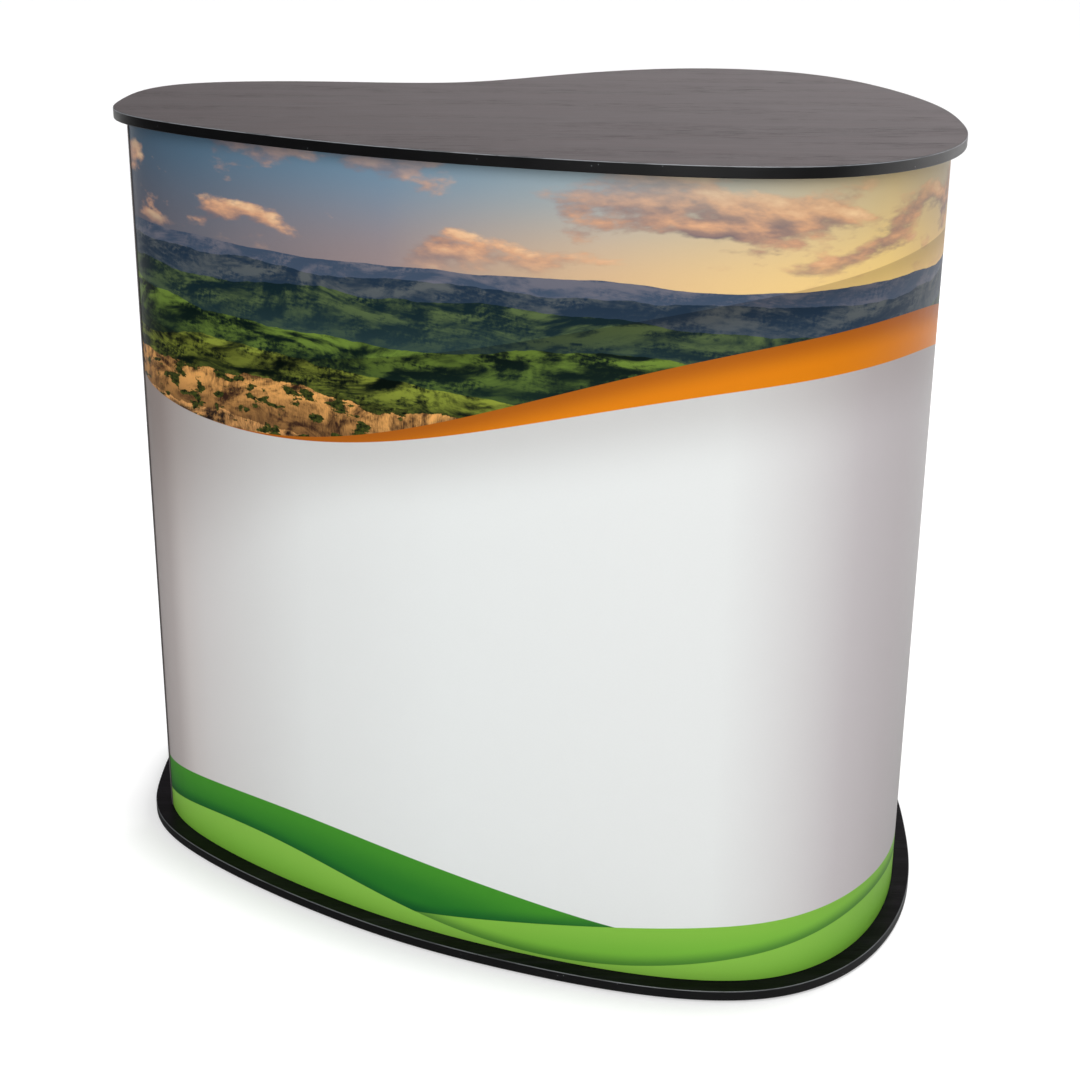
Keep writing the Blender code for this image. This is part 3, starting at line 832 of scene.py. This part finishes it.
def grained_finish(name, dark, light, grain, depth, low, high):
    """A dull moulded, painted or rubber surface with a fine grain."""
    made = Finish(name, {"Specular IOR Level": 0.45})
    place = made.body_place()
    worn = made.noise(place, 35.0, 5.0, 0.6)
    made.colour(made.mix(made.rise(worn, 0.40, 0.75), dark, light))
    made.roughness(worn, low, high)
    made.bump(made.noise(place, grain, 3.0, 0.6), depth)
    return made.material


def channel_finish():
    """Dark grey extruded plastic with faint lines along it."""
    made = Finish("channel_plastic", {"Specular IOR Level": 0.4})
    place = made.body_place()
    lines = made.noise(place, (1600, 1600, 5), 3.0)
    scuffs = made.noise(place, (60, 60, 9), 6.0, 0.65)
    base = made.mix(lines, (72, 67, 67), (96, 91, 91))
    made.colour(made.mix(made.rise(scuffs, 0.60, 0.78), base, (132, 128, 127)))
    made.roughness(scuffs, 0.36, 0.56)
    made.bump(lines, 0.00003)
    return made.material


def tape_finish(name, dark, light, pitch, depth):
    """Hook or loop tape: rows of hooks or loops on a woven ground."""
    made = Finish(name, {"Sheen Weight": 0.35, "Sheen Roughness": 0.5})
    along, up, place = made.sheet_place()
    rows = made.number("SINE", along * (2 * pi / pitch))
    lines = made.number("SINE", up * (2 * pi / pitch))
    fluff = made.noise(place, 2600.0, 3.0, 0.7)
    nap = rows * lines * 0.5 + fluff
    made.colour(made.mix(made.rise(nap, 0.0, 1.2), dark, light))
    made.roughness(fluff, 0.82, 0.98)
    made.bump(nap, depth)
    return made.material


def screw_finish():
    """Zinc plating, slightly blue and clouded."""
    made = Finish("zinc_plating", {"Metallic": 1.0})
    place = made.body_place()
    cloudy = made.noise(place, 500.0, 4.0)
    made.colour(made.mix(cloudy, (168, 172, 180), (206, 206, 200)))
    made.roughness(cloudy, 0.24, 0.46)
    made.bump(made.noise(place, 2400.0, 2.0), 0.00001)
    return made.material


# Boards and pads

def axis_of(node, level, turned_over=False):
    """A node's upright axis at a level, pointing up, or down where turned over."""
    low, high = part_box(node)
    place = Matrix.Translation(((low.x + high.x) / 2, (low.y + high.y) / 2, level))
    return place @ UPSIDE_DOWN if turned_over else place


def make_board(end, inset, laminate, edging):
    """The edging strip round a board, with both outer arrises rounded, and the board just inside."""
    node = f"{end}_edge_band"
    profile = wall(node, inset + BOX_MARGIN, inset + BAND_THICKNESS, ARRIS_RADIUS, 0, FINE_STEPS)
    stand_for(swept(f"{node}_strip", outline_turns(), profile, [edging], closed=True), node)
    node = f"{end}_board"
    profile = board_edge(node, inset + BAND_THICKNESS + BAND_JOINT, JOINT_RADIUS, EDGE_RADIUS, COARSE_STEPS)
    stand_for(swept(f"{node}_face", outline_turns(), profile, [laminate], closed=True, capped=True), node)


def make_boards():
    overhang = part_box("top_edge_band")[0].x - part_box("base_edge_band")[0].x
    make_board("base", -overhang, SHADED_BASE_LAMINATE, BASE_EDGING)
    make_board("top", 0.0, TOP_LAMINATE, TOP_EDGING)


def make_shelf():
    """The loose shelf, edged in black, with a round hole for each post."""
    low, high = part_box("shelf_board")
    profile = board_edge("shelf_board", SHELF_INSET, EDGE_RADIUS, EDGE_RADIUS * 2, CORNER_STEPS)
    shelf = swept("shelf_board_face", outline_turns(), profile, [TOP_EDGING, TOP_LAMINATE],
                  closed=True, capped=True, skin=SHELF_INSET + EDGE_RADIUS)
    hole = rod(POST_RADIUS + SHELF_HOLE_CLEARANCE, low.z - OVERRUN, high.z + OVERRUN)
    places = [axis_of(f"{post}_post", 0.0) for post in POSTS]
    stand_for(cut(shelf, drills(hole, places, TOP_EDGING, ROUND_SIDES)), "shelf_board")


def make_pads():
    for number in range(1, PADS + 1):
        node = f"base_pad_{number}"
        low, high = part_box(node)
        radius = (high.x - low.x) / 2
        profile = rounded([(0, low.z, 0), (radius, low.z, EDGE_RADIUS), (radius, high.z, EDGE_RADIUS / 2),
                           (0, high.z, 0)], closed=False)
        stand_for(turned(f"{node}_disc", profile, axis_of(node, 0.0), [RUBBER]), node)


# Panel, channels, tapes and rails

def strip(node, inset, thickness, radius):
    """Profile of a thin upright strip as high as a node."""
    return wall(node, inset, inset + thickness, radius, radius, COARSE_STEPS)


def make_panel():
    profile = strip("wrap_panel", PANEL_INSET, PANEL_THICKNESS, PANEL_EDGE_RADIUS)
    panel = swept("wrap_panel_sheet", panel_turns(0, 1, PANEL_STEPS), profile, [PRINT, CORE],
                  skin=PANEL_INSET + PANEL_EDGE_RADIUS / 2)
    stand_for(panel, "wrap_panel")


def make_channel(node, share, way):
    """Upright U that caps one end of the panel, way being 1 where the outline runs on past it."""
    low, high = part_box(node)
    near_turn, end_turn = panel_turns(share - way * CHANNEL_DEPTH / PANEL_WIDTH, share, 1)
    end = outline_point(end_turn, PANEL_INSET)
    run = end - outline_point(near_turn, PANEL_INSET)
    along = run / hypot(*run)
    inward = np.array([-along[1], along[0]]) * way
    outer, inner = -LAYER_GAP, PANEL_THICKNESS + LAYER_GAP
    web = LAYER_GAP + CHANNEL_WALL
    lip = web - CHANNEL_DEPTH
    corners = rounded([
        (lip, outer - CHANNEL_WALL, CHANNEL_RADIUS), (web, outer - CHANNEL_WALL, CHANNEL_RADIUS),
        (web, inner + CHANNEL_WALL, CHANNEL_RADIUS), (lip, inner + CHANNEL_WALL, CHANNEL_RADIUS),
        (lip, inner, 0), (LAYER_GAP, inner, 0), (LAYER_GAP, outer, 0), (lip, outer, 0),
    ])
    plan = [end + along * forward + inward * depth for forward, depth in corners]
    if way < 0:
        plan.reverse()
    count = len(plan)
    points = [(x, y, level) for level in (low.z, high.z) for x, y in plan]
    lower, upper = list(range(count)), list(range(count, 2 * count))
    faces = faces_between([lower, upper]) + [tuple(reversed(lower)), tuple(upper)]
    stand_for(weigh_normals(build(f"{node}_section", points, faces, [CHANNEL])), node)


def rail_turns():
    return panel_turns(RAIL_END_SHARE, 1 - RAIL_END_SHARE, RAIL_STEPS)


def make_tapes():
    hook_inset = PANEL_INSET + PANEL_THICKNESS + LAYER_GAP
    loop_inset = hook_inset + TAPE_THICKNESS + LAYER_GAP
    for end in ENDS:
        for kind, inset, finish in (("hook", hook_inset, HOOK_TAPE), ("loop", loop_inset, LOOP_TAPE)):
            node = f"{end}_{kind}_tape"
            profile = strip(node, inset, TAPE_THICKNESS, TAPE_RADIUS)
            stand_for(swept(f"{node}_strip", rail_turns(), profile, [finish]), node)


def make_rail(end):
    """Angle rail with its leg towards the panel and its foot screwed to the board."""
    node = f"{end}_rail"
    low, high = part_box(node)
    leg = PANEL_INSET + PANEL_THICKNESS + 2 * TAPE_THICKNESS + 3 * LAYER_GAP
    heel = leg + RAIL_THICKNESS
    toe = leg + RAIL_FOOT
    sole, tip = (low.z, high.z) if end == "base" else (high.z, low.z)
    instep = sole + RAIL_THICKNESS if end == "base" else sole - RAIL_THICKNESS
    corners = [(inset, level, RAIL_RADIUS) for inset, level in (
        (leg, sole), (leg, tip), (heel, tip), (heel, instep), (toe, instep), (toe, sole))]
    if end == "top":
        corners.reverse()
    rail = swept(f"{node}_section", rail_turns(), rounded(corners), [RAIL_METAL])
    hole = rod(SCREW_RADIUS + LAYER_GAP, min(sole, instep) - OVERRUN, max(sole, instep) + OVERRUN)
    places = [axis_of(f"{node}_screw_{number}", 0.0) for number in range(1, RAIL_SCREWS + 1)]
    stand_for(cut(rail, drills(hole, places, RAIL_METAL)), node)


# Screws

def screw_mesh():
    """Pan-head screw with a cross recess. Its head's underside is at the origin."""
    share = SCREW_HEAD_SHARE
    profile = rounded([
        (0, -SCREW_LENGTH, 0), (SCREW_RADIUS, SCREW_RADIUS - SCREW_LENGTH, EDGE_RADIUS / 2),
        (SCREW_RADIUS, 0, 0), (SCREW_HEAD_RADIUS, 0, EDGE_RADIUS / 3),
        (SCREW_HEAD_RADIUS, SCREW_HEAD_HEIGHT * share, EDGE_RADIUS),
        (SCREW_HEAD_RADIUS * share, SCREW_HEAD_HEIGHT, EDGE_RADIUS * 2), (0, SCREW_HEAD_HEIGHT, 0),
    ], closed=False)
    screw = turned("screw_pattern", profile, Matrix(), [ZINC], SMALL_SIDES)
    mesh = cut(screw, [recess_slot(0), recess_slot(pi / 2)]).data
    bpy.data.objects.remove(screw, do_unlink=True)
    return mesh


def recess_slot(angle):
    """One arm of a cross recess, narrower at its foot."""
    points = []
    for level, share in ((SCREW_HEAD_HEIGHT - RECESS_DEPTH, RECESS_FOOT_SHARE),
                         (SCREW_HEAD_HEIGHT + OVERRUN, 1.0)):
        long, short = RECESS_LENGTH / 2 * share, RECESS_WIDTH / 2 * share
        for x, y in ((-long, -short), (long, -short), (long, short), (-long, short)):
            points.append(Matrix.Rotation(angle, 4, "Z") @ Vector((x, y, level)))
    faces = [(3, 2, 1, 0), (4, 5, 6, 7), (0, 1, 5, 4), (1, 2, 6, 5), (2, 3, 7, 6), (3, 0, 4, 7)]
    return build("slot", points, faces, [ZINC])


def place_screw(name, place, number):
    """A screw whose head stands on a place, each number turned another way."""
    screw = show(name, SCREW)
    screw.matrix_world = place @ Matrix.Rotation(number, 4, "Z")
    return weigh_normals(screw)


def make_rail_screws(end):
    for number in range(1, RAIL_SCREWS + 1):
        node = f"{end}_rail_screw_{number}"
        low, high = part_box(node)
        over = end == "top"
        level = low.z + SCREW_HEAD_HEIGHT if over else high.z - SCREW_HEAD_HEIGHT
        stand_for(place_screw(f"{node}_cross", axis_of(node, level, over), number), node)


# Posts and their fittings

def knob_joint(post, end):
    """The joint on which a post's knob turns."""
    return next(joint for joint in frame["joints"] if joint["child"] == f"{post}_{end}_knob")


def knob_level(post, end):
    return knob_joint(post, end)["pos_m"][2]


def knob_axis(post):
    """Direction in plan in which a post's knobs point."""
    axis = knob_joint(post, "base")["axis"]
    return atan2(axis[1], axis[0])


def radial(post, level):
    """A place on a post's axis with its local Z pointing out along the knobs' direction."""
    turn = Matrix.Rotation(knob_axis(post), 4, "Z") @ Matrix.Rotation(pi / 2, 4, "Y")
    return axis_of(f"{post}_post", level) @ turn


def make_post(post):
    node = f"{post}_post"
    rim = EDGE_RADIUS / 2
    profile = wall(node, POST_RADIUS, POST_RADIUS - POST_WALL, rim, rim, CORNER_STEPS)
    stand_for(turned(f"{node}_tube", profile, axis_of(node, 0.0), [TUBE_METAL], ring=True), node)


def make_plugs(post):
    """Plugs in the ends of a tube, each a head with a rounded rim on a spigot."""
    spigot = POST_RADIUS - POST_WALL - LAYER_GAP
    for end in ("lower", "upper"):
        node = f"{post}_post_{end}_plug"
        low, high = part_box(node)
        length = high.z - low.z
        profile = rounded([
            (0, 0, 0), (POST_RADIUS, 0, EDGE_RADIUS), (POST_RADIUS, PLUG_HEAD, EDGE_RADIUS / 2),
            (spigot, PLUG_HEAD, 0), (spigot, length, EDGE_RADIUS), (0, length, 0),
        ], closed=False)
        over = end == "upper"
        place = axis_of(f"{post}_post", high.z if over else low.z, over)
        stand_for(turned(f"{node}_cap", profile, place, [PLASTIC]), node)


def make_socket(post, end):
    """Flanged cup with a filleted collar, a cross hole for the stud and three screws."""
    node = f"{post}_{end}_socket"
    low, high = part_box(node)
    over = end == "top"
    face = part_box("top_board")[0].z - LAYER_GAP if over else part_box("base_board")[1].z + LAYER_GAP
    height = face - low.z if over else high.z - face
    outer = BORE_RADIUS + COLLAR_WALL
    profile = rounded([
        (0, 0, 0), (FLANGE_RADIUS, 0, EDGE_RADIUS / 2), (FLANGE_RADIUS, FLANGE_THICKNESS, FLANGE_EDGE),
        (outer, FLANGE_THICKNESS, COLLAR_FILLET), (outer, height, FLANGE_EDGE),
        (BORE_RADIUS, height, EDGE_RADIUS), (BORE_RADIUS, FLANGE_THICKNESS, 0), (0, FLANGE_THICKNESS, 0),
    ], FINE_STEPS, closed=False)
    place = axis_of(f"{post}_post", face, over)
    socket = turned(f"{node}_cup", profile, place, [SOCKET_PAINT])
    screws = []
    for number in range(SOCKET_SCREWS):
        angle = knob_axis(post) + 2 * pi * (number + 0.5) / SOCKET_SCREWS
        shift = Matrix.Translation((SCREW_CIRCLE * cos(angle), SCREW_CIRCLE * sin(angle), 0))
        screws.append(shift @ place)
        seat = shift @ place @ Matrix.Translation((0, 0, FLANGE_THICKNESS))
        go_with(place_screw(f"{node}_screw_{number + 1}", seat, number), node)
    stud_hole = rod(STUD_RADIUS + LAYER_GAP, POST_RADIUS / 2, outer + OVERRUN)
    screw_hole = rod(SCREW_RADIUS + LAYER_GAP, -OVERRUN, FLANGE_THICKNESS + OVERRUN)
    cutters = drills(stud_hole, [radial(post, knob_level(post, end))], SOCKET_PAINT)
    cutters += drills(screw_hole, screws, SOCKET_PAINT)
    stand_for(cut(socket, cutters), node)


# Rings of a star knob from its skirt to the middle of its face, as shares of the radius, of the
# depth between the lobes and of the thickness
KNOB_RING_SHARES = [
    (0.00, 0.0, 0.00), (0.62, 0.2, 0.00), (0.84, 0.9, 0.00), (0.93, 1.0, 0.03), (0.985, 1.0, 0.10),
    (1.00, 1.0, 0.20), (1.00, 1.0, 0.74), (0.985, 1.0, 0.86), (0.94, 1.0, 0.94), (0.86, 1.0, 0.99),
    (0.76, 0.7, 1.00), (0.58, 0.1, 1.00), (0.53, 0.0, 0.985), (0.50, 0.0, 0.94), (0.20, 0.0, 0.92),
    (0.00, 0.0, 0.92),
]


def make_knob(post, end):
    """Star knob with soft lobes and a dished face, and the steel stud moulded into it."""
    node = f"{post}_{end}_knob"
    place = radial(post, knob_level(post, end))
    start = BORE_RADIUS + COLLAR_WALL + KNOB_STANDOFF
    hollows = [(1 - cos(2 * pi * KNOB_LOBES * side / KNOB_SIDES)) / 2 for side in range(KNOB_SIDES)]
    points, rows = [], []
    for radius, star, height in KNOB_RING_SHARES:
        radii = [radius * KNOB_RADIUS - star * KNOB_LOBE_DEPTH * hollow for hollow in hollows]
        add_ring(points, rows, place, start + height * KNOB_THICKNESS, radii)
    stand_for(build(f"{node}_star", points, faces_between(rows), [PLASTIC]), node)
    stud = rounded([(0, BORE_RADIUS, 0), (STUD_RADIUS, BORE_RADIUS, EDGE_RADIUS),
                    (STUD_RADIUS, start - JOINT_RADIUS, 0), (0, start - JOINT_RADIUS, 0)], closed=False)
    go_with(turned(f"{node}_stud", stud, place, [ZINC], SMALL_SIDES), node)


def make_shelf_collar(post):
    """Ring that carries the shelf, with its grub screw."""
    node = f"{post}_shelf_collar"
    low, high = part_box(node)
    outer = (high.x - low.x) / 2
    place = radial(post, (low.z + high.z) / 2)
    profile = wall(node, outer, BORE_RADIUS, EDGE_RADIUS, EDGE_RADIUS / 2, CORNER_STEPS)
    collar = turned(f"{node}_ring", profile, axis_of(f"{post}_post", 0.0), [TUBE_METAL], ring=True)
    low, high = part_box(f"{node}_screw")
    radius = (high.z - low.z) / 2
    hole = rod(radius + LAYER_GAP, POST_RADIUS / 2, outer + OVERRUN)
    stand_for(cut(collar, drills(hole, [place], TUBE_METAL)), node)
    screw = rod(radius, BORE_RADIUS, outer - LAYER_GAP)
    grub = turned(f"{node}_screw_grub", screw, place, [ZINC], SMALL_SIDES)
    key = rod(GRUB_SOCKET_RADIUS, outer - GRUB_SOCKET_DEPTH, outer + OVERRUN)
    stand_for(cut(grub, drills(key, [place], ZINC, KEY_SIDES)), f"{node}_screw")


# Stage, light and camera

def make_floor():
    """White floor that keeps the counter's shadow. In gloss it is dark in front, on the left."""
    made = Finish("floor_paint", {"Roughness": 0.9, "Specular IOR Level": 0.0, "Base Color": FLOOR_COLOUR})
    glossy = made.ray("Glossy")
    seen = made.number("MAXIMUM", made.ray("Camera"), glossy)
    glow = made.node("Emission", {"Strength": seen * FLOOR_GLOW})
    paint = Result(made, made.shader.outputs[0])
    lit = made.node("AddShader", {0: paint, 1: glow})
    dark = made.node("Emission", {"Strength": 0.0})
    dim = glossy * made.rise(made.toward_bright_side(made.body_place()), *FLOOR_DARKENS)
    shown = made.node("MixShader", {0: dim, 1: lit, 2: dark})
    made.tree.links.new(shown.socket, made.tree.nodes["Material Output"].inputs["Surface"])
    corners = [(x * FLOOR_REACH, y * FLOOR_REACH, 0) for x, y in ((-1, -1), (1, -1), (1, 1), (-1, 1))]
    build("floor", corners, [(0, 1, 2, 3)], [made.material])


def make_world():
    """White to the camera. In gloss it is a warm white backdrop, low behind the counter and brighter
    to the right, in a dark room."""
    world = bpy.data.worlds.new("studio")
    bpy.context.scene.world = world
    world.use_nodes = True
    made = Nodes(world.node_tree)
    direction = made.node("TexCoord", output="Generated")
    side = made.rise(made.toward_bright_side(direction), *BACKDROP_SIDES, ROOM_LEVEL, BACKDROP_LEVEL)
    height = made.rise(made.component(direction, "Z"), *BACKDROP_HEIGHTS, ROOM_LEVEL)
    glossy = made.ray("Glossy")
    seen = made.number("MAXIMUM", made.ray("Camera"), made.ray("Transmission"))
    unseen = (1.0 - glossy) * AMBIENT_LEVEL + glossy * side * height
    strength = (1.0 - seen) * unseen + seen
    colour = made.node("Mix", {0: glossy, 6: PLAIN_WHITE, 7: WARM_BACKDROP}, 2, data_type="RGBA")
    background = made.tree.nodes["Background"]
    made.tree.links.new(strength.socket, background.inputs["Strength"])
    made.tree.links.new(colour.socket, background.inputs["Color"])


def facing(direction):
    """A lamp's turn where it stands in a direction from what it lights."""
    return Vector(direction).to_track_quat("Z", "Y").to_matrix().to_4x4()


def make_lamp(name, place, size, level, in_gloss=True):
    """A soft square lamp that lights a white surface at its aim to the given level."""
    lamp = bpy.data.lights.new(name, "AREA")
    lamp.size = size
    away = Vector(place) - Vector(LAMP_AIM)
    lamp.energy = level * pi * pi * away.length_squared
    holder = show(name, lamp)
    holder.matrix_world = Matrix.Translation(place) @ facing(away)
    holder.visible_glossy = in_gloss


def make_high_light():
    """A far soft light, nearly overhead, that drops the top's shadow round the base."""
    lamp = bpy.data.lights.new("high", "SUN")
    lamp.angle = HIGH_SPREAD
    lamp.energy = HIGH_LEVEL * pi
    show("high", lamp).matrix_world = facing(HIGH_DIRECTION)


def make_camera():
    data = bpy.data.cameras.new("camera")
    data.sensor_width = SENSOR_WIDTH
    data.lens = SENSOR_WIDTH * FOCAL_LENGTH_SHARE
    camera = show("camera", data)
    turn = Matrix.Rotation(CAMERA_TURN, 4, "Z") @ Matrix.Rotation(pi / 2 - CAMERA_PITCH, 4, "X")
    camera.matrix_world = Matrix.Translation(CAMERA_PLACE) @ turn @ Matrix.Rotation(CAMERA_ROLL, 4, "Z")
    bpy.context.scene.camera = camera


# The scene

TOP_LAMINATE = laminate_finish("top_laminate", 0.32, (17, 8, 9), (32, 17, 18), (50, 32, 34))
# The base takes a darker, less red copy of the top's laminate with weaker gloss: painted shade, the same
# laminate as it looks in shade
SHADED_BASE_LAMINATE = laminate_finish("base_laminate_painted_shade", 0.07, (8, 7, 10), (16, 14, 18), (28, 26, 31))
# The two edgings differ only in how strong their painted arris highlight is
TOP_EDGING = edging_finish("top_edging", 0.92)
BASE_EDGING = edging_finish("base_edging", 0.66)
PRINT = print_finish()
CORE = sheet_core_finish()
CHANNEL = channel_finish()
TUBE_METAL = drawn_metal_finish("anodised_aluminium", (170, 173, 180), (196, 198, 202), (700, 700, 4))
RAIL_METAL = drawn_metal_finish("mill_aluminium", (152, 155, 162), (178, 180, 184), (60, 60, 900))
SOCKET_PAINT = grained_finish("socket_paint", (34, 35, 38), (44, 45, 48), 1400.0, 0.00004, 0.42, 0.58)
HOOK_TAPE = tape_finish("hook_tape", (20, 20, 22), (46, 46, 49), 0.0016, 0.0002)
LOOP_TAPE = tape_finish("loop_tape", (30, 30, 33), (56, 56, 60), 0.0011, 0.0003)
ZINC = screw_finish()
PLASTIC = grained_finish("moulded_plastic", (20, 20, 22), (30, 30, 32), 1900.0, 0.00003, 0.36, 0.52)
RUBBER = grained_finish("pad_rubber", (24, 24, 25), (38, 38, 38), 900.0, 0.00006, 0.78, 0.94)
SCREW = screw_mesh()

make_boards()
make_shelf()
make_pads()
make_panel()
make_channel("left_panel_channel", 0.0, -1)
make_channel("right_panel_channel", 1.0, 1)
make_tapes()
for end_name in ENDS:
    make_rail(end_name)
for end_name in ENDS:
    make_rail_screws(end_name)
for post_name in POSTS:
    make_post(post_name)
    make_plugs(post_name)
    make_shelf_collar(post_name)
    for end_name in ENDS:
        make_socket(post_name, end_name)
        make_knob(post_name, end_name)

make_floor()
make_world()
make_lamp("key", KEY_PLACE, KEY_SIZE, KEY_LEVEL)
make_lamp("fill", FILL_PLACE, FILL_SIZE, FILL_LEVEL, in_gloss=False)
make_high_light()
make_camera()
bpy.context.scene.view_settings.view_transform = "Standard"
